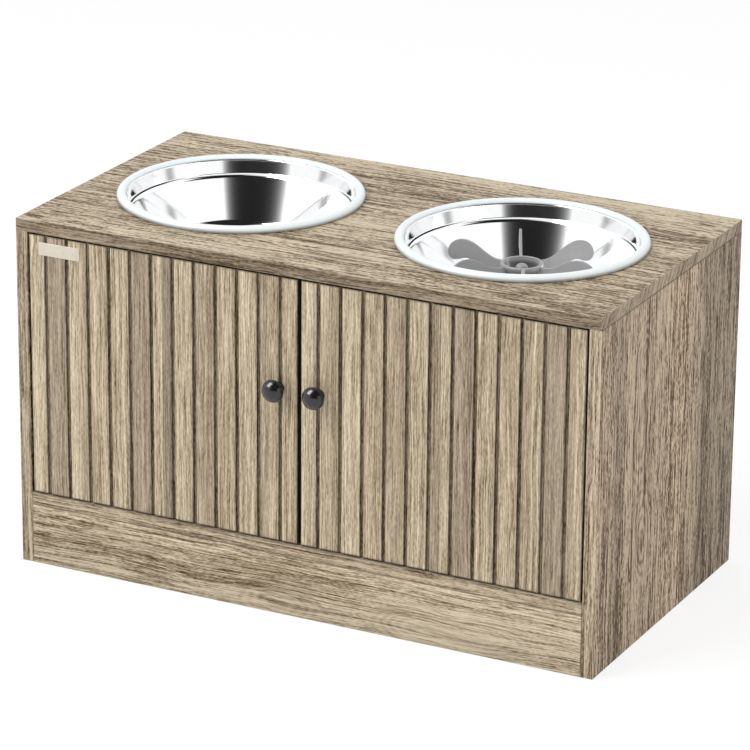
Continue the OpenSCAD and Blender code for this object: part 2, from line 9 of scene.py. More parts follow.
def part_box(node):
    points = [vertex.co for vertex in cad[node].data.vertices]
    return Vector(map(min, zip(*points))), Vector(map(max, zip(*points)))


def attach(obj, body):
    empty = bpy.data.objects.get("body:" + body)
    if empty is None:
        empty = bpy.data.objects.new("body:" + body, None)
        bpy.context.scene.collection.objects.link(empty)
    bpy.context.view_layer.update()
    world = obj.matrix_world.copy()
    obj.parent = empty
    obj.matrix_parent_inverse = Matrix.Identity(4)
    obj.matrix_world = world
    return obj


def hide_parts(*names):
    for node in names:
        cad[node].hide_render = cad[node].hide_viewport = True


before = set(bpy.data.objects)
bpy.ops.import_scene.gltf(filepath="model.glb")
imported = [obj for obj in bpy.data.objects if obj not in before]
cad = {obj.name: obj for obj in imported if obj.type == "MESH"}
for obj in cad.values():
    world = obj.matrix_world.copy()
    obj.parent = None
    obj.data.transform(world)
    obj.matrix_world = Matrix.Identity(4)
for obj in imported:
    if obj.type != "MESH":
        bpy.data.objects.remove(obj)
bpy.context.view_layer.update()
MM = 0.001
LAMP_DISTANCE, LAMP_AIM = 3.2, 0.2
SIDES = ("left", "right")
UPRIGHT = Matrix.Rotation(pi / 2, 4, "X")
SKIN = {"Color": "Color", "Roughness": "Float", "Height": "Float"}


def srgb(r, g, b):
    """A colour given in 0..255 as a screen shows it, turned into the linear values that shaders use."""
    def linear(c):
        c = c / 255
        return c / 12.92 if c <= 0.04045 else ((c + 0.055) / 1.055) ** 2.4
    return (linear(r), linear(g), linear(b), 1.0)


def direction(azimuth, elevation):
    """The way to a point seen from the part: azimuth 0 is straight in front of it. Both are in radians."""
    return Vector((sin(azimuth) * cos(elevation), -cos(azimuth) * cos(elevation), sin(elevation)))


def loose_object(name, data):
    piece = bpy.data.objects.new(name, data)
    bpy.context.scene.collection.objects.link(piece)
    return piece


# ---- Camera, floor and light

def set_camera():
    """The photograph's camera: found from the cabinet's corners and the bowls' rims."""
    azimuth, elevation, roll = (radians(a) for a in (26.899, 20.013, 0.501))
    back = direction(azimuth, elevation)
    side = (-back).cross(Vector((0, 0, 1))).normalized()
    up = side.cross(-back)
    right = side * cos(roll) + up * sin(roll)
    top = up * cos(roll) - side * sin(roll)
    turned = Matrix((right, top, back)).transposed().to_4x4()
    data = bpy.data.cameras.new("photo_camera")
    data.sensor_fit, data.sensor_width, data.lens, data.clip_end = "HORIZONTAL", 36, 200.70, 50
    camera = loose_object("photo_camera", data)
    camera.matrix_world = Matrix.Translation((1.6823, -3.31295, 1.5457)) @ turned
    bpy.context.scene.camera = camera


class Nodes:
    """Adds nodes to a tree: a value is set on a socket, a socket is linked to it.

    The kinds of nodes are named without their family's name.
    """

    def __init__(self, tree):
        self.tree = tree
        shader = tree.bl_idname == "ShaderNodeTree"
        self.families = ("ShaderNode",) if shader else ("GeometryNode", "FunctionNode", "ShaderNode")

    def put(self, socket, value):
        if isinstance(value, bpy.types.NodeSocket):
            self.tree.links.new(value, socket)
        else:
            socket.default_value = value

    def add(self, kind, values=None, **settings):
        made = self.tree.nodes.new(next(f + kind for f in self.families if hasattr(bpy.types, f + kind)))
        for key, value in settings.items():
            setattr(made, key, value)
        for key, value in (values or {}).items():
            self.put(made.inputs[key], value)
        return made

    def made(self, kind, values=None, **settings):
        """The first output of a new node."""
        return self.add(kind, values, **settings).outputs[0]

    def math(self, operation, a, b=0.0, c=0.0, clamp=False):
        return self.made("Math", {0: a, 1: b, 2: c}, operation=operation, use_clamp=clamp)

    def times(self, a, b):
        return self.math("MULTIPLY", a, b)

    def plus(self, a, b, clamp=False):
        return self.math("ADD", a, b, clamp=clamp)

    def minus(self, a, b):
        return self.math("SUBTRACT", a, b)

    def times_plus(self, a, b, c, clamp=False):
        return self.math("MULTIPLY_ADD", a, b, c, clamp)

    def larger(self, a, b):
        return self.math("MAXIMUM", a, b)

    def vector(self, operation, a, b=(0, 0, 0)):
        made = self.add("VectorMath", {0: a, 1: b}, operation=operation)
        return made.outputs["Value" if operation in ("LENGTH", "DOT_PRODUCT") else "Vector"]

    def point(self, x=0.0, y=0.0, z=0.0):
        return self.made("CombineXYZ", {0: x, 1: y, 2: z})

    def parts(self, vector):
        return self.add("SeparateXYZ", {0: vector}).outputs

    def scale(self, a, by):
        return self.add("VectorMath", {"Vector": a, "Scale": by}, operation="SCALE").outputs["Vector"]

    def mix(self, factor, a, b, blend="MIX"):
        return self.add("Mix", {0: factor, 6: a, 7: b}, data_type="RGBA", blend_type=blend).outputs[2]

    def toned(self, colour, shade, blue=None):
        """A colour times a shade, which may be another one for blue."""
        blue = shade if blue is None else blue
        tint = self.made("CombineColor", {0: shade, 1: shade, 2: blue})
        return self.mix(1.0, colour, tint, "MULTIPLY")

    def noise(self, vector, detail=2.0, roughness=0.5, distortion=0.0):
        return self.made("TexNoise", {"Vector": vector, "Scale": 1.0, "Detail": detail,
                                      "Roughness": roughness, "Distortion": distortion})

    def span(self, value, low, high, to_low=0.0, to_high=1.0, smooth=True):
        return self.made("MapRange", {"Value": value, "From Min": low, "From Max": high,
                                      "To Min": to_low, "To Max": to_high},
                         interpolation_type="SMOOTHSTEP" if smooth else "LINEAR")

    def group(self, tree, values):
        return self.add("Group", values, node_tree=tree).outputs


def emptied(holder):
    """The node tree of a material or of the world, with nothing in it."""
    holder.use_nodes = True
    holder.node_tree.nodes.clear()
    return Nodes(holder.node_tree)


def new_group(name, inputs, outputs=SKIN):
    """A shader group with named sockets: the values of its inputs and the kinds of its outputs."""
    tree = bpy.data.node_groups.new(name, "ShaderNodeTree")
    for title, value in inputs.items():
        kind = "Float" if isinstance(value, float) else "Vector" if len(value) == 3 else "Color"
        socket = tree.interface.new_socket(title, in_out="INPUT", socket_type="NodeSocket" + kind)
        socket.default_value = value
    for title, kind in outputs.items():
        tree.interface.new_socket(title, in_out="OUTPUT", socket_type="NodeSocket" + kind)
    into = tree.nodes.new("NodeGroupInput").outputs
    out = tree.nodes.new("NodeGroupOutput").inputs
    return tree, Nodes(tree), into, out


def seen_directly(n, path):
    """1 for rays that come from the camera, a mirror or clear plastic, 0 for those that only carry light."""
    return n.larger(path["Is Camera Ray"], n.larger(path["Is Glossy Ray"], path["Is Transmission Ray"]))


def set_floor():
    """A pale, endless floor. It lights the part plainly and looks near white with a faint shadow."""
    half, level = 9.0, -0.0003
    mesh = bpy.data.meshes.new("studio_floor")
    corners = [(-half, -half), (half, -half), (half, half), (-half, half)]
    mesh.from_pydata([(x, y, level) for x, y in corners], [], [(0, 1, 2, 3)])
    floor = loose_object("studio_floor", mesh)
    paint = bpy.data.materials.new("floor_paint")
    n = emptied(paint)
    plain, bright = (n.made("BsdfDiffuse", {"Color": (grey, grey, grey, 1)}) for grey in (0.86, 0.27))
    glow = n.made("Emission", {"Color": (1, 1, 1, 1), "Strength": 0.77})
    lit = n.made("AddShader", {0: bright, 1: glow})
    path = n.add("LightPath").outputs
    both = n.made("MixShader", {0: seen_directly(n, path), 1: plain, 2: lit})
    n.add("OutputMaterial", {"Surface": both})
    mesh.materials.append(paint)


def set_world():
    """Soft white surroundings. Polished metal sees dark studio cloths in them."""
    world = bpy.data.worlds.new("studio")
    bpy.context.scene.world = world
    n = emptied(world)
    path = n.add("LightPath").outputs
    way = n.add("TexCoord").outputs["Generated"]
    height = n.parts(way)["Z"]

    def cloth(bounces, middle, half, low, high, fade=0, depth=1.0, soft=5):
        """A dark cloth round an azimuth and between two elevations, in degrees, shown at one mirror bounce.

        Its sides go to white over soft degrees. With fade the dark builds up slowly from the sides inwards
        instead, a little faster on one side than on the other.
        """
        a = radians(middle)
        ahead = n.vector("DOT_PRODUCT", way, direction(a, 0))
        aside = n.vector("DOT_PRODUCT", way, (cos(a), sin(a), 0))
        side = n.math("ARCTAN2", aside, ahead)
        turn = n.math("ABSOLUTE", side)
        if fade:
            inside = n.larger(n.minus(radians(half), turn), 0.0)
            slow = n.times_plus(n.math("SIGN", side), radians(0.17 * fade), -radians(fade))
            across = n.minus(1.0, n.math("EXPONENT", n.math("DIVIDE", inside, slow)))
        else:
            across = n.span(turn, radians(half - soft), radians(half + soft), depth, 0.0)
        bottom, top = (sin(radians(e)) for e in (low, high))
        up = n.span(height, bottom - 0.05, bottom + 0.05)
        if high < 90:
            up = n.times(up, n.span(height, top - 0.02, top + 0.02, 1.0, 0.0))
        return n.times(n.math("COMPARE", path["Glossy Depth"], bounces, 0.5), n.times(across, up))

    dark = 0.0
    for made in (cloth(1, 12.8, 36, 3, 90, fade=4.5), cloth(1, 60, 36, 27, 90), cloth(1, 160, 80, 62, 90),
                 cloth(2, 175, 76, 8, 50, fade=9), cloth(2, 14, 10, 5, 34, depth=0.55, soft=8)):
        dark = n.larger(dark, made)
    mirrored = n.mix(dark, (1.07, 1.07, 1.07, 1), (0.0155, 0.0155, 0.016, 1))
    mirrored = n.mix(path["Is Glossy Ray"], (1, 1, 1, 1), mirrored)
    back = n.made("Background", {"Color": mirrored, "Strength": 1.0})
    soft_light = n.made("Background", {"Color": (1.0, 1.0, 1.0, 1), "Strength": 0.62})
    both = n.made("MixShader", {0: seen_directly(n, path), 1: soft_light, 2: back})
    n.add("OutputWorld", {"Surface": both})


def add_softbox(name, azimuth, elevation, size, watts, height=None):
    """A softbox that faces the cabinet: a disc, or with a height an oblong one that only mirrors show."""
    data = bpy.data.lights.new(name, "AREA")
    data.shape = "RECTANGLE" if height else "DISK"
    data.size, data.size_y, data.energy = size, height or size, watts
    lamp = loose_object(name, data)
    way = direction(radians(azimuth), radians(elevation))
    aimed = way.to_track_quat("Z", "Y").to_matrix().to_4x4()
    lamp.matrix_world = Matrix.Translation(way * LAMP_DISTANCE + Vector((0, 0, LAMP_AIM))) @ aimed
    lamp.visible_glossy = height is not None
    lamp.visible_diffuse = height is None


# ---- Finishes: shader groups

MARKS = {"dash": 0.25, "fine": 0.3, "line": 0.22, "long": 0.85, "streak": 1.0, "arch": 1.0, "patch": 1.0}


def oak_print_group():
    """Printed oak foil. The grain runs along the vector's X, in metres. Knot 1 to 3 give a swirl's place.

    The other inputs say how strong each kind of mark is: Fine for short lines, Line for longer ones, Long for
    thin lines that run on, Dash for dark pores, Streak for broad bands, Arch for arched figures and Patch for
    slow changes.
    """
    knots = ["Knot %d" % k for k in (1, 2, 3)]
    tree, n, into, out = new_group("oak_print", {
        "Vector": (0, 0, 0), "Tone": (0.35, 0.28, 0.2, 1), "Seed": 0.0,
        **{mark.title(): 1.0 for mark in MARKS}, **{knot: (9, 9, 9) for knot in knots}})
    seed = into["Seed"]
    base = n.vector("ADD", into["Vector"], n.point(n.times(seed, 1.73), seed, n.times(seed, 0.61)))

    def grain(along, across, detail=0.0, source=None, rough=0.5):
        """Noise about nought, in cells so many to the metre along and across the grain."""
        scaled = n.vector("MULTIPLY", source or base, (along, across, across))
        return n.minus(n.noise(scaled, detail=detail, roughness=rough), 0.5)

    swirl = grain(1.6, 13, 1.0)
    pull, near = (0, 0, 0), 0.0
    for knot in knots:
        away = n.vector("MULTIPLY", n.vector("SUBTRACT", into["Vector"], into[knot]), (23, 52, 52))
        bump = n.math("EXPONENT", n.times(n.vector("DOT_PRODUCT", away, away), -1.0))
        swirl = n.plus(swirl, n.times(bump, 0.30))
        near = n.larger(near, bump)
        pull = n.vector("ADD", pull, n.scale(away, n.times(bump, 0.0045)))
    wave = n.point(0.0, n.times(grain(9, 26, 1.0), 0.006), n.times(grain(10, 23, 1.0), 0.006))
    drawn = n.vector("SUBTRACT", n.vector("ADD", base, wave), n.vector("MULTIPLY", pull, (0, 1, 1)))
    rings = n.times_plus(swirl, 120.0, n.times(grain(20, 110, 1.0), 5.0))
    shown = n.larger(n.span(grain(2.6, 15, 1.0), -0.08, 0.14), n.span(near, 0.1, 0.5))
    fine = n.plus(grain(60, 1100, 0.0, drawn), n.times(grain(230, 1150, 0.0, drawn), 1.1))
    long = n.plus(grain(2.6, 320, 0.0, drawn), n.times(grain(8, 1250, 0.0, drawn), 1.5))
    weighed = {"Fine": (n.times(fine, n.span(near, 0.1, 0.5, 1.0, 0.45)), 2.6),
               "Line": (grain(21, 430, 1.0, drawn, 0.7), 1.9),
               "Long": (long, 1.0),
               "Dash": (n.span(grain(110, 760, 0.0, drawn), 0.08, 0.24), -0.30),
               "Streak": (grain(2.2, 40, 1.0, drawn), 0.7),
               "Arch": (n.times(n.math("SINE", rings), shown), 0.12),
               "Patch": (grain(2.6, 17, 1.0), 0.7)}
    level = 0.56
    for mark, (noise, weight) in weighed.items():
        level = n.plus(level, n.times(n.times(noise, weight), into[mark]), clamp=mark == "Patch")
    tint = n.mix(level, (0.22, 0.135, 0.02, 1), (1.74, 1.82, 1.92, 1))
    n.put(out["Color"], n.mix(1.0, into["Tone"], tint, "MULTIPLY"))
    n.put(out["Roughness"], n.times_plus(level, -0.12, 0.58))
    n.put(out["Height"], level)
    return tree


def edge_group():
    """How near a point of a board's surface is to the board's edges: 1 on an edge, 0 from Width inwards."""
    tree, n, into, out = new_group("board_edge", {
        "Vector": (0, 0, 0), "Low": (-1, -1, -1), "High": (1, 1, 1), "Width": 0.002, "Breakup": 0.5},
        {"Mask": "Float"})
    inside = n.vector("MINIMUM", n.vector("SUBTRACT", into["Vector"], into["Low"]),
                      n.vector("SUBTRACT", into["High"], into["Vector"]))
    part = n.parts(inside)
    least = n.math("MINIMUM", part[0], n.math("MINIMUM", part[1], part[2]))
    most = n.larger(part[0], n.larger(part[1], part[2]))
    total = n.plus(part[0], n.plus(part[1], part[2]))
    second = n.minus(n.minus(total, least), most)
    near = n.span(n.math("DIVIDE", second, into["Width"]), 0.0, 1.0, 1.0, 0.0)
    rough = n.noise(n.scale(into["Vector"], 210.0), detail=3)
    keep = n.minus(1.0, n.times(n.span(rough, 0.42, 0.62), into["Breakup"]))
    n.put(out["Mask"], n.times(near, keep))
    return tree


def metal_group():
    """Plated or brushed metal. The brushing runs along the vector's X."""
    tree, n, into, out = new_group("metal_skin", {
        "Vector": (0, 0, 0), "Tone": (0.6, 0.6, 0.6, 1), "Brush": 1.0, "Mottle": 1.0, "Gloss": 0.3})
    brush = n.minus(n.noise(n.vector("MULTIPLY", into["Vector"], (60, 2600, 2600)), detail=3), 0.5)
    brushed = n.times(brush, into["Brush"])
    cloud = n.minus(n.noise(n.scale(into["Vector"], 130.0), detail=4), 0.5)
    level = n.plus(brushed, n.times(cloud, into["Mottle"]))
    shade, blue = (n.times_plus(level, share, 1.0) for share in (0.55, 0.45))
    n.put(out["Color"], n.toned(into["Tone"], shade, blue))
    n.put(out["Roughness"], n.times_plus(level, 0.35, into["Gloss"], clamp=True))
    n.put(out["Height"], n.plus(brushed, n.times(cloud, 0.3)))
    return tree


def moulded_group():
    """Moulded plastic or rubber: fine spark texture, slow changes of tone and sheen."""
    tree, n, into, out = new_group("moulded_skin", {
        "Vector": (0, 0, 0), "Tone": (0.3, 0.3, 0.3, 1), "Spark": 1.0, "Cloud": 1.0, "Gloss": 0.45})
    spark = n.minus(n.noise(n.scale(into["Vector"], 1900.0), detail=2), 0.5)
    cloud = n.minus(n.noise(n.scale(into["Vector"], 38.0), detail=3), 0.5)
    sparks = n.times(spark, into["Spark"])
    shade = n.plus(n.times_plus(n.times(cloud, into["Cloud"]), 0.30, 1.0), n.times(sparks, 0.12))
    n.put(out["Color"], n.toned(into["Tone"], shade))
    n.put(out["Roughness"], n.times_plus(n.plus(cloud, spark), 0.25, into["Gloss"], clamp=True))
    n.put(out["Height"], sparks)
    return tree


OAK = oak_print_group()
EDGE = edge_group()
METAL = metal_group()
MOULDED = moulded_group()


def new_material(name):
    material = bpy.data.materials.new(name)
    n = emptied(material)
    shader = n.add("BsdfPrincipled")
    n.add("OutputMaterial", {"Surface": shader.outputs[0]})
    return material, n, shader.inputs, n.add("TexCoord").outputs["Object"]


def join_skin(n, shader, skin, colour, bump, distance=0.0001):
    """A colour, and the roughness and height of a skin, go to the shader."""
    n.put(shader["Base Color"], colour)
    n.put(shader["Roughness"], skin["Roughness"])
    n.put(shader["Normal"], n.made("Bump", {"Height": skin["Height"], "Strength": bump, "Distance": distance}))


TURNS = {"X": (0, 0, 0), "Z": (0, pi / 2, 0), "end": (radians(35), pi / 2, 0)}


def oak(name, tone, grain="X", seed=0.0, edges=None, shade_lines=None, shade_line_width=0.0013, knots=(), strips=None, **marks):
    """Oak-print foil whose grain runs along an axis of the part. tone is the foil's mean colour, 0..255.

    edges gives a box whose edges are rubbed pale; the box after it gets a dark painted shade line along its
    edges, for the shade that falls in joints and gaps. strips gives a tone that changes over the part.
    """
    material, n, shader, place = new_material(name)
    turned = n.made("Mapping", {"Vector": place, "Rotation": TURNS[grain]})
    values = {"Vector": turned, "Tone": strips(n, place) if strips else srgb(*tone), "Seed": seed}
    values.update((mark.title(), strength) for mark, strength in {**MARKS, **marks}.items())
    values.update(("Knot %d" % k, at) for k, at in enumerate(knots, 1))
    skin = n.group(OAK, values)
    colour = skin["Color"]
    # the first box rubs edges pale, as wear; the second paints a shade line, dark colour for the shade in
    # joints and gaps
    for box, width, breakup, strength, paint in ((edges, 0.0016, 0.7, 0.16, (214, 200, 176)),
                                                 (shade_lines, shade_line_width, 0.25, 0.75, (62, 50, 38))):
        if box:
            mask = n.group(EDGE, {"Vector": place, "Low": box[0], "High": box[1], "Width": width,
                                  "Breakup": breakup})["Mask"]
            colour = n.mix(n.times(mask, strength), colour, srgb(*paint))
    join_skin(n, shader, skin, colour, 0.35, 0.0002)
    shader["Specular IOR Level"].default_value = 0.32
    return material


def metal(name, tone, brush=1.0, mottle=0.6, gloss=0.3, bump=0.15, grain="X"):
    material, n, shader, place = new_material(name)
    turned = n.made("Mapping", {"Vector": place, "Rotation": TURNS[grain]})
    skin = n.group(METAL, {"Vector": turned, "Tone": srgb(*tone), "Brush": brush, "Mottle": mottle,
                           "Gloss": gloss})
    shader["Metallic"].default_value = 1.0
    join_skin(n, shader, skin, skin["Color"], bump)
    return material


def moulded(name, tone, spark=1.0, cloud=1.0, gloss=0.45, bump=0.2, coat=0.0, specular=0.5, painted_shade=None):
    """Plastic or enamel. The last argument gives the heights between which a painted shade fades out upwards,
    and its depth: dark grey painted into the colour where shade falls low on the part.
    """
    material, n, shader, place = new_material(name)
    skin = n.group(MOULDED, {"Vector": place, "Tone": srgb(*tone), "Spark": spark, "Cloud": cloud,
                             "Gloss": gloss})
    colour = skin["Color"]
    if painted_shade:
        low, high, depth = painted_shade
        # painted shade: the colour darkens to grey towards the lower height
        colour = n.mix(n.span(n.parts(place)["Z"], low, high, depth, 0.0), colour, srgb(70, 70, 70))
    join_skin(n, shader, skin, colour, bump)
    shader["Coat Weight"].default_value = coat
    shader["Specular IOR Level"].default_value = specular
    return material


# ---- Shapes

def add_piece(name, mesh, body, replaced, slot, materials=()):
    piece = loose_object(name, mesh)
    for material in materials:
        mesh.materials.append(material)
    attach(piece, body)
    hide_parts(*replaced)
    return piece


def face_slots(mesh, chosen):
    """Gives each face the material slot that is chosen for it."""
    for face in mesh.polygons:
        face.material_index = chosen(face)


def baked(piece):
    """The piece with its modifiers applied, as a plain mesh. The piece itself goes."""
    graph = bpy.context.evaluated_depsgraph_get()
    made = piece.evaluated_get(graph)
    mesh = bpy.data.meshes.new_from_object(made, preserve_all_data_layers=True, depsgraph=graph)
    bpy.data.objects.remove(piece)
    return mesh


def soft_shade(mesh, angle=32):
    mesh.shade_smooth()
    mesh.set_sharp_from_angle(angle=radians(angle))


def cad_shape(node):
    """A copy of a CAD node's mesh with its faces joined up."""
    shape = bmesh.new()
    shape.from_mesh(cad[node].data)
    bmesh.ops.remove_doubles(shape, verts=shape.verts, dist=1e-6)
    return shape


def board_mesh(node, width=0.0005):
    """A copy of a board's CAD mesh with its outer edges rounded over."""
    shape = cad_shape(node)
    bmesh.ops.dissolve_limit(shape, angle_limit=radians(1), verts=shape.verts, edges=shape.edges)
    low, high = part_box(node)

    def outer(edge):
        hits = 0
        for axis in range(3):
            for plane in (low[axis], high[axis]):
                hits += all(abs(v.co[axis] - plane) < 2e-5 for v in edge.verts)
        return hits >= 2
    edges = [e for e in shape.edges if outer(e)]
    bmesh.ops.bevel(shape, geom=edges, offset=width, segments=3, profile=0.5, affect="EDGES")
    mesh = bpy.data.meshes.new(node)
    shape.to_mesh(mesh)
    shape.free()
    mesh.materials.clear()
    piece = loose_object("work", mesh)
    soft_shade(mesh, 40)
    piece.modifiers.new("weights", "WEIGHTED_NORMAL").keep_sharp = True
    return baked(piece)


def turned_mesh(name, outline, steps=128, closed=False):
    """A shape turned round +Z from (radius, height) points in millimetres. An end on the axis is one point."""
    shape = bmesh.new()
    rings = []
    for r, z in outline:
        angles = [2 * pi * k / steps for k in range(steps)] if r > 1e-4 else [0]
        rings.append([shape.verts.new((r * MM * cos(a), r * MM * sin(a), z * MM)) for a in angles])
    for a, b in zip(rings, rings[1:] + rings[:1] if closed else rings[1:]):
        for k in range(steps):
            corners = [a[k % len(a)], a[(k + 1) % len(a)], b[(k + 1) % len(b)], b[k % len(b)]]
            corners = list(dict.fromkeys(corners))
            if len(corners) > 2:
                shape.faces.new(corners)
    bmesh.ops.recalc_face_normals(shape, faces=shape.faces)
    mesh = bpy.data.meshes.new(name)
    shape.to_mesh(mesh)
    shape.free()
    soft_shade(mesh)
    return mesh


def moved(mesh, matrix):
    mesh.transform(matrix)
    if matrix.determinant() < 0:
        mesh.flip_normals()
    return mesh


def flat_curve(name, points, thickness, rounding, segments=2):
    """A flat outline in X and Y with thickness along Z and rounded edges, in millimetres, as a mesh."""
    curve = bpy.data.curves.new(name, "CURVE")
    curve.dimensions = "2D"
    curve.fill_mode = "BOTH"
    curve.extrude = (thickness / 2 - rounding) * MM
    curve.bevel_depth = rounding * MM
    curve.bevel_resolution = segments
    curve.offset = -rounding * MM
    line = curve.splines.new("POLY")
    line.points.add(len(points) - 1)
    for point, (x, y) in zip(line.points, points):
        point.co = (x * MM, y * MM, 0, 1)
    line.use_cyclic_u = True
    mesh = baked(loose_object(name, curve))
    shape = bmesh.new()
    shape.from_mesh(mesh)
    bmesh.ops.remove_doubles(shape, verts=shape.verts, dist=2e-6)
    bmesh.ops.recalc_face_normals(shape, faces=shape.faces)
    shape.to_mesh(mesh)
    shape.free()
    soft_shade(mesh, 35)
    return mesh


# ---- Geometry node trees

def new_geometry_tree(name, inputs):
    """A geometry group: its inputs are names with a kind and, except for objects and materials, a value."""
    tree = bpy.data.node_groups.new(name, "GeometryNodeTree")
    tree.is_modifier = True
    tree.interface.new_socket("Geometry", in_out="INPUT", socket_type="NodeSocketGeometry")
    for title, (kind, *value) in inputs.items():
        socket = tree.interface.new_socket(title, in_out="INPUT", socket_type="NodeSocket" + kind)
        if value:
            socket.default_value = value[0]
    tree.interface.new_socket("Geometry", in_out="OUTPUT", socket_type="NodeSocketGeometry")
    return tree, Nodes(tree), tree.nodes.new("NodeGroupInput").outputs, tree.nodes.new("NodeGroupOutput").inputs


def grown(name, tree, values, mesh=None):
    """Runs a geometry tree on a mesh with values by socket name, and gives the plain mesh that comes out."""
    piece = loose_object(name, mesh or bpy.data.meshes.new(name))
    modifier = piece.modifiers.new(name, "NODES")
    modifier.node_group = tree
    for socket in tree.interface.items_tree:
        if socket.item_type == "SOCKET" and socket.in_out == "INPUT" and socket.name in values:
            modifier[socket.identifier] = values[socket.name]
    made = baked(piece)
    made.name = name
    return made


def plank_tree():
    """A door of upright planks on a core, with narrow gaps. The two outer planks have their own width."""
    tree, n, into, out = new_geometry_tree("plank_door", {
        "Width": ("Float", 0.284), "Height": ("Float", 0.258), "Thickness": ("Float", 0.012),
        "Gaps": ("Int", 12), "Gap Width": ("Float", PLANK_GAP), "Gap Depth": ("Float", 0.002),
        "End Plank": ("Float", END_PLANK), "Rounding": ("Float", 0.0006), "Plank Face": ("Material",),
        "Core Face": ("Material",), "Back Face": ("Material",)})
    width, height, gap, gap_depth, end = (into[key] for key in (
        "Width", "Height", "Gap Width", "Gap Depth", "End Plank"))
    lap = 0.0006

    def bar(wide):
        """An upright plank with rounded corners that reaches a little into the core."""
        outline = n.made("CurvePrimitiveQuadrilateral", {"Width": wide, "Height": n.plus(gap_depth, lap)})
        rounded = n.made("FilletCurve", {"Curve": outline, "Radius": into["Rounding"]}, mode="POLY")
        rail = n.made("CurvePrimitiveLine", {"Start": (0, 0, 0), "End": n.point(z=height)})
        return n.made("CurveToMesh", {"Curve": rail, "Profile Curve": rounded, "Fill Caps": True})

    def row(count, start, step, shape):
        line = n.made("MeshLine", {"Count": count, "Start Location": n.point(start, depth_middle),
                                   "Offset": n.point(step)})
        return n.made("InstanceOnPoints", {"Points": line, "Instance": shape})

    def joined(*shapes):
        both = n.add("JoinGeometry")
        for shape in shapes:
            n.put(both.inputs[0], shape)
        return n.made("RealizeInstances", {0: both.outputs[0]})

    def painted(shape, face, where=True):
        return n.made("SetMaterial", {"Geometry": shape, "Selection": where, "Material": into[face]})

    depth_middle = n.times_plus(gap_depth, 0.5, lap / 2)
    inner = n.minus(width, n.times(end, 2.0))
    inner_planks = n.minus(into["Gaps"], 1.0)
    pitch = n.math("DIVIDE", n.minus(inner, gap), inner_planks)
    plank = n.minus(pitch, gap)
    first = n.plus(n.plus(end, gap), n.times(plank, 0.5))
    planks = joined(row(inner_planks, first, pitch, bar(plank)),
                    row(2, n.times(end, 0.5), n.minus(width, end), bar(end)))
    core_depth = n.minus(into["Thickness"], gap_depth)
    core = n.made("MeshCube", {"Size": n.point(width, core_depth, height)})
    core = n.made("Transform", {"Geometry": core, "Translation": n.point(
        n.times(width, 0.5), n.times_plus(core_depth, 0.5, gap_depth), n.times(height, 0.5))})
    facing = n.parts(n.made("InputNormal"))["Y"]
    ahead = n.made("Compare", {"A": facing, "B": -0.5}, data_type="FLOAT", operation="LESS_THAN")
    core = painted(painted(core, "Back Face"), "Core Face", ahead)
    n.put(out["Geometry"], joined(painted(planks, "Plank Face"), core))
    return tree


def placed(n, points, shape, rotation, material):
    """A turned copy of a shape on each point, as one solid mesh of one material."""
    copies = n.made("InstanceOnPoints", {"Points": points, "Instance": shape, "Rotation": rotation})
    return n.made("SetMaterial", {"Geometry": n.made("RealizeInstances", {0: copies}), "Material": material})


def ring_tree():
    """Copies of the input shape set round +Z."""
    tree, n, into, out = new_geometry_tree("fin_ring", {
        "Fins": ("Int", 6), "Turn": ("Float", 0.0), "Face": ("Material",)})
    points = n.made("MeshLine", {"Count": into["Fins"], "Offset": (0, 0, 0)})
    step = n.math("DIVIDE", 2 * pi, into["Fins"])
    angle = n.times_plus(n.made("InputIndex"), step, into["Turn"])
    n.put(out["Geometry"], placed(n, points, into["Geometry"], n.point(z=angle), into["Face"]))
    return tree


def screw_tree():
    """One screw on each point of the input, its axis along the point's attribute named drive."""
    tree, n, into, out = new_geometry_tree("driven_screws", {
        "Screw": ("Object",), "Turn": ("Float", 1.5), "Metal": ("Material",)})
    shape = n.add("ObjectInfo", {"Object": into["Screw"]}).outputs["Geometry"]
    drive = n.made("InputNamedAttribute", {"Name": "drive"}, data_type="FLOAT_VECTOR")
    spin = n.add("RandomValue", {"Min": 0.0, "Max": into["Turn"], "Seed": 7}, data_type="FLOAT")
    roll = n.point(z=spin.outputs["Value"])
    aim = n.made("AlignRotationToVector", {"Rotation": roll, "Vector": drive}, axis="Z")
    n.put(out["Geometry"], placed(n, into["Geometry"], shape, aim, into["Metal"]))
    return tree


# ---- Sizes, in millimetres

ring_low, ring_high = (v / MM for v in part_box("right_rim_ring"))
bowl_x, bowl_y = (ring_low.x + ring_high.x) / 2, (ring_low.y + ring_high.y) / 2
ring_bottom, ring_top = ring_low.z, ring_high.z
rim_z = ring_bottom + 3.2
floor_z = rim_z - 63.0
hub_z = floor_z + 40.0
at_bowl = {side: Matrix.Translation((x * MM, bowl_y * MM, 0)) for side, x in zip(SIDES, (-bowl_x, bowl_x))}


# ---- Pieces

def shaded_print(tone, axis, shade):
    """A foil's tone times a shade that changes along an axis."""
    return lambda n, place: n.toned(srgb(*tone), shade(n, n.parts(place)[axis]))


def board_shade(n, y):
    """A dark band near the front, a pale band past the middle and a dark rear."""
    dark = n.minus(n.span(y, -0.125, -0.112), n.span(y, -0.1, -0.088))
    pale = n.minus(n.span(y, -0.01, 0.015), n.span(y, 0.04, 0.06))
    level = n.minus(n.times_plus(pale, 0.28, 1.0), n.times(dark, 0.2))
    return n.minus(level, n.times(n.span(y, 0.065, 0.09), 0.3))


def kick_shade(n, z):
    """Darker towards the floor."""
    return n.span(z, 0.0, 0.06, 0.86, 1.12, smooth=False)


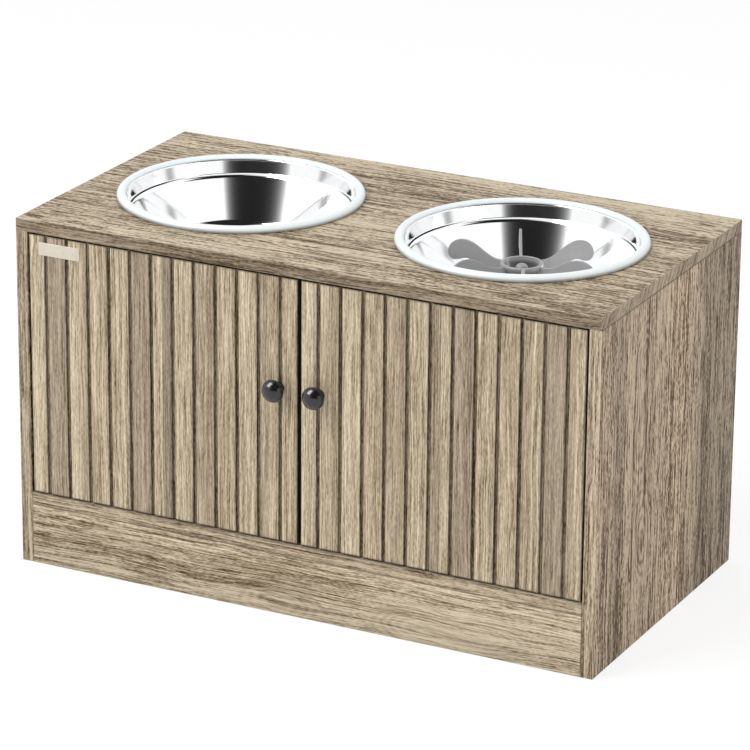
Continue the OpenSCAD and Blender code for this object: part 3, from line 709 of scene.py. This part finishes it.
def make_boards():
    upright, kick = (150, 131, 107), (170, 155, 131)
    boards = {
        "top_board": ("worktop", "board_top", "X", (159, 143, 119)),
        "left_side": ("side_board_left", "board_side", "Z", upright),
        "right_side": ("side_board_right", "board_side", "Z", upright),
        "bottom_board": ("cabinet_floor", "board_bottom", "X", (161, 145, 121)),
        "front_plinth": ("kick_board_front", "board_plinth", "X", kick),
        "rear_plinth": ("kick_board_rear", "board_plinth", "X", kick)}
    # swirls lie in the print's own frame: with Z grain its X runs down the board
    knots = {"top_board": ((0.01, -0.10, 0.345), (0.255, 0.11, 0.345), (-0.21, 0.14, 0.345)),
             "right_side": ((0.272, -0.053, -0.30), (0.195, -0.060, -0.30), (0.10, -0.052, -0.30)),
             "left_side": ((0.22, 0.055, 0.30), (0.10, -0.09, 0.30), (0.05, 0.12, 0.30)),
             "front_plinth": ((-0.02, -0.148, 0.012), (0.12, -0.148, 0.015), (0.19, -0.148, 0.02))}
    bold = {"dash": 0.6, "fine": 1.0, "line": 1.2, "long": 1.9, "streak": 2.1, "arch": 2.6, "patch": 2.2}
    faint = {"dash": 0.2, "fine": 0.3, "line": 0.2, "long": 0.85, "streak": 0.7, "arch": 0.7, "patch": 0.8}
    back, up = Vector((0, 1, 0)), Vector((0, 0, 1))
    for k, (node, (name, slot, grain, tone)) in enumerate(boards.items()):
        low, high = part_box(node)
        # painted shade lines mark where boards meet, dark colour for the shade in the joints: the box for them
        # is larger on the other sides
        boxes = {"top_board": (low - back, high + back + up), "bottom_board": (low, high),
                 **{side + "_side": (low - back - up, high + back) for side in SIDES}}
        shade_lines = boxes.get(node, (low - up, high))
        calm = 0.85 if node == "top_board" else 1.0
        calmed = {mark: strength * calm for mark, strength in bold.items()}
        strips = None
        if grain == "Z":
            strips = shaded_print(tone, "Y", board_shade)
        elif "plinth" in node:
            strips = shaded_print(tone, "Z", kick_shade)
        mesh = board_mesh(node)
        add_piece(name, mesh, "cabinet", (node,), slot, (oak(
            name + "_foil", tone, grain, seed=3.1 * k + 1, edges=(low, high), shade_lines=shade_lines,
            knots=knots.get(node, ()), strips=strips, **(calmed if k < 3 else faint)),))
        if node == "top_board":
            for end, way, end_tone, seed in (("end", "end", (145, 129, 106), 27),
                                             ("front", "X", (134, 119, 98), 29)):
                mesh.materials.append(oak("worktop_%s_foil" % end, end_tone, way, seed=seed, arch=0.3,
                                          edges=(low, high), shade_lines=shade_lines))
            face_slots(mesh, lambda face: next((slot for slot, part in ((1, face.normal.x), (2, face.normal.y))
                                                if abs(part) > 0.9), 0))
        elif grain == "Z":
            pale = (167, 151, 127) if node == "right_side" else (155, 140, 117)
            mesh.materials.append(oak(name + "_edging", pale, "Z", seed=20 + k, dash=0.1, fine=0.3, line=0.15,
                                      arch=0.2, patch=0.5))
            face_slots(mesh, lambda face: 1 if abs(face.normal.y) > 0.7 else 0)
    mesh = board_mesh("back_panel", 0.0003)
    add_piece("rear_panel", mesh, "cabinet", ("back_panel",), "panel_back", (
        oak("rear_panel_print", (150, 136, 115), "Z", seed=31, arch=0.4, edges=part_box("back_panel")),))


PRINTS = {"pale": (179, 164, 138), "straw": (173, 157, 131), "tan": (162, 146, 122), "drab": (152, 137, 116),
          "dusk": (141, 127, 107)}
# each plank's print from the left to the right, with a slash where a plank shows two prints side by side
PLANKS = {"left": "pale drab pale/tan straw pale drab pale/dusk pale tan straw pale tan/straw straw",
          "right": "pale straw/tan pale straw tan pale drab/pale drab pale straw tan/pale drab tan/pale"}
END_PLANK, PLANK_GAP = 0.0163, 0.003


def plank_tones(side, left, width):
    """Print of planks of changing tone across a door that starts at left and has this width."""
    planks = [prints.split("/") for prints in PLANKS[side].split()]
    pitch = (width - 2 * END_PLANK - PLANK_GAP) / (len(planks) - 2)
    joints = [END_PLANK + PLANK_GAP / 2 + k * pitch for k in range(len(planks) - 1)]
    edges = [0.0] + joints + [width]

    def tones(n, place):
        across = n.times_plus(n.parts(place)["X"], 1 / width, -left / width)
        ramp = n.add("ValToRGB", {0: across})
        ramp.color_ramp.interpolation = "CONSTANT"
        stops = ramp.color_ramp.elements
        stops.remove(stops[1])
        for prints, start, end in zip(planks, edges, edges[1:]):
            for k, tone in enumerate(prints):
                at = (start + (end - start) * k / len(prints)) / width
                stop = stops.new(at) if at else stops[0]
                stop.color = srgb(*PRINTS[tone])
        return ramp.outputs[0]
    return tones


def make_doors():
    tree = plank_tree()
    # the grooves' walls and floors are printed darker than the planks: painted shade for the shade in the
    # grooves
    groove_shade_paint = oak("plank_groove_painted_shade", (113, 99, 79), "Z", seed=44, fine=0.5, arch=0.0, patch=0.6)
    # the door's edge faces are printed near black: painted shade for the gaps round and between the doors
    edge_shade_paint = oak("door_edge_painted_shade", (60, 50, 40), "Z", seed=49, fine=0.5, arch=0.0, patch=0.4)
    back_print = oak("door_back_print", (170, 154, 130), "Z", seed=47, arch=0.6)
    for side in SIDES:
        low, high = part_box(side + "_door")
        width = high.x - low.x
        # the planks' print gets a painted shade line round the door's edges, for the shade in the gap round it
        planks = oak(side + "_plank_print", (0, 0, 0), "Z", seed=51 if side == "left" else 58, dash=0.1,
                     fine=0.2, line=0.12, long=0.62, streak=0.3, arch=0.15, patch=0.2,
                     strips=plank_tones(side, low.x, width), shade_lines=(low, high), shade_line_width=0.0018)
        mesh = grown(side + "_plank_door", tree, {
            "Width": width, "Height": high.z - low.z, "Thickness": high.y - low.y,
            "Plank Face": planks, "Core Face": groove_shade_paint, "Back Face": back_print})
        moved(mesh, Matrix.Translation(low))
        mesh.materials.append(edge_shade_paint)
        edge_shade_slot, groove_shade_slot = (mesh.materials.find(paint.name) for paint in (edge_shade_paint, groove_shade_paint))

        # faces on the door's outline take the painted shade edge; the groove walls take the grooves' painted
        # shade
        def chosen(face):
            at = face.center
            if min(at.x - low.x, high.x - at.x, at.z - low.z, high.z - at.z) < 0.0001:
                return edge_shade_slot
            return groove_shade_slot if at.y - low.y < 0.002 and abs(face.normal.x) > 0.7 else face.material_index
        face_slots(mesh, chosen)
        add_piece(side + "_plank_door", mesh, side + "_leaf", (side + "_door",), "door_front")


def arc(steps, start, end, function):
    return [function(radians(start + (end - start) * k / steps)) for k in range(steps + 1)]


def ease(a, b, t):
    return a + (b - a) * (1 - cos(pi * t)) / 2


def make_knobs():
    """Mushroom knobs: a foot, a waisted neck, a head that flares out and a domed face."""
    length, foot, neck, head = 20.0, 5.5, 4.25, 11.0
    foot_h, neck_h, head_h = length * 0.06, length * 0.34, length * 0.6
    quarter = pi / 2
    outline = [(0, 0), (foot - 0.3, 0), (foot, 0.3)]
    outline += [(foot + (neck - foot) * sin(quarter * k / 10), foot_h + (neck_h - foot_h) * k / 10)
                for k in range(11)]
    outline += [(neck + (head - neck) * (1 - cos(quarter * k / 12)),
                 neck_h + (head_h - neck_h) * sin(quarter * k / 12)) for k in range(1, 13)]
    outline += arc(20, 4, 86, lambda a: (head * cos(a), head_h + (length - head_h) * sin(a)))
    outline += [(0, length)]
    black = moulded("knob_enamel", (22, 22, 24), spark=0.5, cloud=0.8, gloss=0.3, bump=0.03, coat=1.0,
                    specular=0.15)
    for side in SIDES:
        low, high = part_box(side + "_knob")
        mesh = turned_mesh(side + "_pull", outline, 72)
        middle = (low + high) / 2
        moved(mesh, Matrix.Translation((middle.x, high.y, middle.z)) @ UPRIGHT)
        add_piece(side + "_pull", mesh, side + "_leaf", (side + "_knob",), "knob_black", (black,))


def make_plate():
    """The blank label plate with rounded corners."""
    low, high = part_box("label_plate")
    corner = 0.7
    x, z = (size / MM / 2 - corner for size in (high.x - low.x, high.z - low.z))
    points = []
    for cx, cy, start in ((x, z, 0), (-x, z, 90), (-x, -z, 180), (x, -z, 270)):
        points += arc(4, start, start + 90, lambda a: (cx + corner * cos(a), cy + corner * sin(a)))
    mesh = flat_curve("blank_plate", points, 0.6, 0.15)
    moved(mesh, Matrix.Translation((low + high) / 2) @ UPRIGHT)
    face = metal("plate_foil", (214, 206, 190), brush=0.5, mottle=0.5, gloss=0.42)
    add_piece("blank_plate", mesh, "left_leaf", ("label_plate",), "label", (face,))


def bowl_outline():
    """The bowl's section: inner surface from the flange to the floor, then the outer surface back."""
    sheet, mouth, fillet, run, drop, band, bend, roll = 0.8, 108.5, 2.0, 5.0, 5.5, 13.5, 0.8, 4.6
    base, round_floor = 89.5, 12.0
    shoulder, low = mouth - 1 - run, rim_z - band - drop
    ledge = run - bend - roll, drop
    level = degrees(atan2(*ledge) + asin((bend + roll) / hypot(*ledge)))
    wall = shoulder + roll - base + round_floor, low - floor_z - round_floor
    tilt = degrees(atan2(*wall) - asin((roll + round_floor) / hypot(*wall)))

    def bow(steps, start, end, r, z, radius, out=-1, up=1):
        return arc(steps, start, end, lambda a: (r + out * radius * cos(a), z + up * radius * sin(a)))

    inside = [(114.9, rim_z)]
    for part in (bow(8, 90, 180, mouth + fillet, rim_z - fillet, fillet, out=1),
                 bow(10, 0, level, shoulder + run - bend, low + drop, bend, out=1, up=-1),
                 bow(16, level, tilt, shoulder + roll, low, roll),
                 bow(16, tilt, 90, base - round_floor, floor_z + round_floor, round_floor, out=1, up=-1),
                 [(12, floor_z)]):
        (r0, z0), (r1, z1) = inside[-1], part[0]
        inside += [(r0 + (r1 - r0) * k, z0 + (z1 - z0) * k) for k in (0.03, 0.3, 0.7, 0.97)] + part
    outside = []
    for k, (r, z) in enumerate(inside):
        (r0, z0), (r1, z1) = inside[max(k - 1, 0)], inside[min(k + 1, len(inside) - 1)]
        size = hypot(r1 - r0, z1 - z0)
        outside.append((r - sheet * (z1 - z0) / size, z + sheet * (r1 - r0) / size))
    return inside + [(0, floor_z), (0, floor_z - sheet)] + outside[::-1]


def steel_mirror(name, centre):
    """Polished steel with the faint rings that spinning leaves round the bowl's middle."""
    material, n, shader, place = new_material(name)
    local = n.vector("SUBTRACT", place, centre)
    part = n.parts(local)
    out = n.vector("LENGTH", n.point(part[0], part[1]))
    round_way = n.point(n.math("ARCTAN2", part[1], part[0]), n.times(out, 14.0), n.times(part[2], 14.0))
    spun = n.minus(n.noise(n.vector("MULTIPLY", round_way, (2.0, 60, 60)), detail=4, roughness=0.7), 0.5)
    smear = n.minus(n.noise(n.scale(local, 22.0), detail=3, distortion=0.6), 0.5)
    colour = n.toned((0.95, 0.953, 0.956, 1), n.times_plus(n.plus(spun, smear), 0.05, 1.0))
    uneven = n.times_plus(n.plus(n.times(spun, 0.5), smear), 0.10, 0.07, clamp=True)
    shader["Metallic"].default_value = 1.0
    join_skin(n, shader, {"Roughness": uneven, "Height": spun}, colour, 0.03)
    return material


def make_bowls():
    """Each bowl's steel shell and the soft ring that is clipped over its flange."""
    section = bowl_outline()
    inner, outer, slot_in, slot_out = 108.8, 118.3, 110.3, 115.1
    mid, half = (inner + outer) / 2, (outer - inner) / 2
    height = ring_top - ring_bottom
    lip, under = rim_z + 0.1, rim_z - 0.9
    ring = arc(16, 0, 90, lambda a: (mid + half * cos(a), ring_bottom + height * (0.25 + 0.75 * sin(a))))
    ring += arc(16, 96, 180, lambda a: (mid + half * cos(a), lip + (ring_top - lip) * sin(a)))
    ring += [(slot_out, lip), (slot_out, under), (slot_in, under), (slot_in, ring_bottom),
             (outer - 0.9, ring_bottom), (outer - 0.25, ring_bottom + 0.25)]
    # the ring's lowest 4.6 mm get painted shade: its colour darkens towards where it sits on the flange
    rubber = moulded("rim_ring_skin_painted_shade", (233, 240, 241), spark=0.4, cloud=0.25, gloss=0.34, bump=0.06,
                     painted_shade=(ring_bottom * MM, (ring_bottom + 4.6) * MM, 0.7))
    for side in SIDES:
        place, body = at_bowl[side], side + "_bowl_set"
        steel = steel_mirror(side + "_bowl_polish", tuple(place.translation))
        mesh = moved(turned_mesh(side + "_bowl_shell", section, 192), place)
        add_piece(side + "_bowl_shell", mesh, body, (side + "_bowl",), "bowl_steel", (steel,))
        mesh = moved(turned_mesh(side + "_ring_skin", ring, 192, closed=True), place)
        add_piece(side + "_ring_skin", mesh, body, (side + "_rim_ring",), "rim_ring", (rubber,))


def fin_outline():
    """One fin's outline: distance from the hub's axis and height above the hub's rim."""
    root, start, reach, high, lip = 17.6, 24.5, 78.0, 12.0, 2.2
    crest, tip, notch, foot, droop, drop, low = reach * 0.77, reach * 0.92, reach * 0.74, 32.5, 2.5, 7.0, 17.0

    def sway(steps, first, x0, x1, y0, y1):
        return [(x0 + (x1 - x0) * k / steps, ease(y0, y1, k / steps)) for k in range(first, steps + 1)]

    points = [(root, -lip / 2)] + sway(16, 0, start, crest, -lip / 2, high)
    points += arc(12, 6, 84, lambda a: (crest + (reach - crest) * sin(a), -droop + (high + droop) * cos(a)))
    points += arc(10, 0, 90, lambda a: (tip + (reach - tip) * cos(a), -droop - drop * sin(a)))
    points += sway(12, 1, tip, notch, -droop - drop, -high / 2) + sway(12, 1, notch, foot, -high / 2, -low)
    return points + [(root, -low)]


def make_feeder():
    """The insert: a hub with a lip, a cup and a domed boss, and six wavy fins. The steel doesn't mirror it."""
    place = at_bowl["right"] @ Matrix.Translation((0, 0, hub_z * MM))
    top = place.translation.z
    look = {"spark": 0.6, "cloud": 0.5, "gloss": 0.38, "bump": 0.08}
    plastic = moulded("feeder_skin", (149, 149, 150), **look)
    # the hub is the feeder's plastic with painted shade: its cup and walls darken downwards from just under the
    # lip
    shaded = moulded("feeder_hub_painted_shade_skin", (149, 149, 150), painted_shade=(top - 0.006, top - 0.0022, 0.9), **look)
    out, inner, lip, lip_t, cup, boss = 18.5, 16.9, 20.0, 2.2, 16.0, 6.0
    hub = [(0, -18), (inner, -18), (inner, -30), (out - 0.2, -30), (out, -29.8), (out, -lip_t),
           (lip - 0.4, -lip_t), (lip, -lip_t + 0.4), (lip, -0.9)]
    hub += arc(6, 0, 90, lambda a: (lip - 0.9 + 0.9 * cos(a), -0.9 + 0.9 * sin(a)))
    hub += arc(5, 90, 180, lambda a: (inner + 0.5 + 0.5 * cos(a), -0.5 + 0.5 * sin(a)))
    hub += arc(4, 0, -90, lambda a: (inner - 1 + cos(a), -cup + 1 + sin(a)))
    hub += [(boss + 0.6, -cup), (boss + 0.15, -cup + 0.2), (boss, -cup + 0.8)]
    hub += arc(12, 4, 86, lambda a: (boss * cos(a), -1 - boss * (1 - sin(a)) * 0.8)) + [(0, -1)]
    mesh = moved(turned_mesh("feeder_hub", hub, 96), place)
    hub_piece = add_piece("feeder_hub", mesh, "feeder_set", ("slow_feeder",), "feeder_plastic", (shaded,))
    fin = flat_curve("fin", fin_outline(), 2.2, 0.7, 3)
    moved(fin, UPRIGHT)
    fins = grown("feeder_fins", ring_tree(), {"Turn": radians(56.5), "Face": plastic}, fin)
    fin_piece = add_piece("feeder_fins", moved(fins, place), "feeder_set", ("slow_feeder",), "feeder_plastic")
    for piece in (hub_piece, fin_piece, cad["suction_cup"]):
        piece.visible_glossy = False


def screw_mesh(head, rise, shank, length):
    """A pan-head screw with a cross recess: head above z = 0, shank below it, in millimetres."""
    outline = [(0, -length), (shank * 0.35, -length), (shank, -length + 2.4)]
    z = -length + 2.4
    while z < -1.6:
        outline += [(shank, z + 0.15), (shank * 0.8, z + 0.55), (shank * 0.8, z + 0.75)]
        z += 1.0
    outline += [(shank, -0.6), (shank, 0), (head * 0.97, 0), (head, rise * 0.12), (head, rise * 0.35)]
    outline += arc(7, 0, 86, lambda a: (head * (0.55 + 0.45 * cos(a)),
                                        rise * (0.35 + 0.65 * sin(a))))[1:] + [(0, rise)]
    body = loose_object("screw", turned_mesh("screw", outline, 32))
    shape = bmesh.new()
    thin, deep, over = head * 0.13, rise * 0.28, rise * 1.5
    for turn in (0, pi / 2):
        turned = Matrix.Rotation(turn, 4, "Z")
        made = [shape.verts.new(turned @ (Vector((x * wide, y, z)) * MM))
                for wide, z in ((head * 0.52 * 0.55, deep), (head * 0.52 * 1.25, over))
                for x, y in ((-1, -thin), (1, -thin), (1, thin), (-1, thin))]
        for face in ((0, 3, 2, 1), (4, 5, 6, 7), (0, 1, 5, 4), (1, 2, 6, 5), (2, 3, 7, 6), (3, 0, 4, 7)):
            shape.faces.new([made[i] for i in face])
    cutter = loose_object("recess", bpy.data.meshes.new("recess"))
    shape.to_mesh(cutter.data)
    shape.free()
    cut = body.modifiers.new("recess", "BOOLEAN")
    cut.object, cut.operation, cut.solver, cut.use_self = cutter, "DIFFERENCE", "EXACT", True
    made = baked(body)
    bpy.data.objects.remove(cutter)
    soft_shade(made)
    return made


def loose_parts(shape):
    """The corner points of each loose part of a mesh, in the order of the mesh's own points."""
    done = set()
    for first in shape.verts:
        group, todo = [], [] if first in done else [first]
        done.add(first)
        while todo:
            v = todo.pop()
            group.append(v.co.copy())
            near = [edge.other_vert(v) for edge in v.link_edges]
            todo += [other for other in near if other not in done]
            done.update(near)
        if group:
            yield group


def screw_places(*names):
    """Where each screw of some CAD nodes sits: the end at its head, the way that it faces and its length."""
    places = []
    for name in names:
        shape = cad_shape(name)
        for group in loose_parts(shape):
            low, high = (Vector([pick(c[i] for c in group) for i in range(3)]) for pick in (min, max))
            axis = max(range(3), key=lambda i: high[i] - low[i])
            middle = (low + high) / 2

            def width(end):
                """How wide the screw is near its end with this value on the axis."""
                return max(((c - middle).cross(Vector([i == axis for i in range(3)])).length
                            for c in group if abs(c[axis] - end) < 0.0022), default=0)
            upper = width(high[axis]) > width(low[axis])
            way = Vector((0, 0, 0))
            way[axis] = 1 if upper else -1
            tip = middle.copy()
            tip[axis] = (high if upper else low)[axis]
            places.append((tip, way, high[axis] - low[axis]))
        shape.free()
    return places


def make_screws():
    tree = screw_tree()
    zinc = metal("screw_zinc", (196, 197, 200), brush=0.3, mottle=0.9, gloss=0.28)
    small, bolt = (3.0, 1.95, 1.5), (4.0, 2.4, 2.0)
    for name, body, names, (head, rise, shank) in (
            ("cabinet_screws", "cabinet", ("catch_screws", "back_panel_screws"), small),
            ("block_screws", "cabinet", ("corner_block_screws",), small),
            ("left_knob_bolt", "left_leaf", ("left_knob_screw",), bolt),
            ("right_knob_bolt", "right_leaf", ("right_knob_screw",), bolt)):
        places = screw_places(*names)
        length = min(size for _, _, size in places) / MM - rise
        template = loose_object("template", screw_mesh(head, rise, shank, length))
        points = bpy.data.meshes.new(name)
        points.from_pydata([tuple(tip - way * rise * MM) for tip, way, _ in places], [], [])
        drive = points.attributes.new("drive", "FLOAT_VECTOR", "POINT")
        for k, (_, way, _) in enumerate(places):
            drive.data[k].vector = way
        mesh = grown(name, tree, {"Screw": template, "Metal": zinc}, points)
        bpy.data.objects.remove(template)
        add_piece(name, mesh, body, names, "steel_screw")


def dress_hardware():
    """Finishes for the CAD pieces whose own shape is right."""
    for finish, nodes in (
            (metal("plate_zinc", (190, 192, 196), brush=1.0, mottle=0.8, gloss=0.3),
             "left_strike_plate right_strike_plate catch_pole_plates left_strike_screw right_strike_screw"),
            (metal("pin_steel", (188, 189, 192), brush=0.8, mottle=0.3, gloss=0.24, grain="Z"),
             "left_pivot_pins right_pivot_pins"),
            (moulded("bushing_nylon", (58, 48, 38), spark=0.4, cloud=0.4, gloss=0.4), "pivot_bushings"),
            (moulded("catch_case_skin", (52, 52, 54), spark=1.4, cloud=0.6, gloss=0.5), "catch_cases"),
            (moulded("magnet_ferrite", (66, 66, 70), spark=2.0, cloud=1.5, gloss=0.55), "catch_magnets"),
            (metal("bolt_yellow_zinc", (198, 184, 140), brush=0.5, mottle=1.2, gloss=0.32), "cam_bolts"),
            (metal("cam_cast_zinc", (176, 178, 182), brush=0.2, mottle=1.6, gloss=0.42), "cam_discs"),
            (oak("dowel_beech", (206, 176, 134), seed=71, line=0.6, streak=0.6, arch=0.1, patch=0.4), "dowels"),
            (moulded("corner_block_skin", (226, 222, 210), spark=0.8, cloud=0.5, gloss=0.5), "corner_blocks"),
            (moulded("suction_rubber_skin", (208, 213, 216), spark=0.3, cloud=0.6, gloss=0.25, coat=0.2),
             "suction_cup")):
        for node in nodes.split():
            if not cad[node].material_slots:
                cad[node].data.materials.append(finish)
            for slot in cad[node].material_slots:
                slot.material = finish


set_camera()
set_floor()
set_world()
add_softbox("key_softbox", -37, 50, 2.2, 54)
add_softbox("strip_softbox", -42, 43, 1.5, 105, height=2.4)
add_softbox("fill_softbox", 78, 34, 2.4, 22)
make_boards()
make_doors()
make_knobs()
make_plate()
make_bowls()
make_feeder()
make_screws()
dress_hardware()

bpy.context.scene.view_settings.view_transform = "Standard"
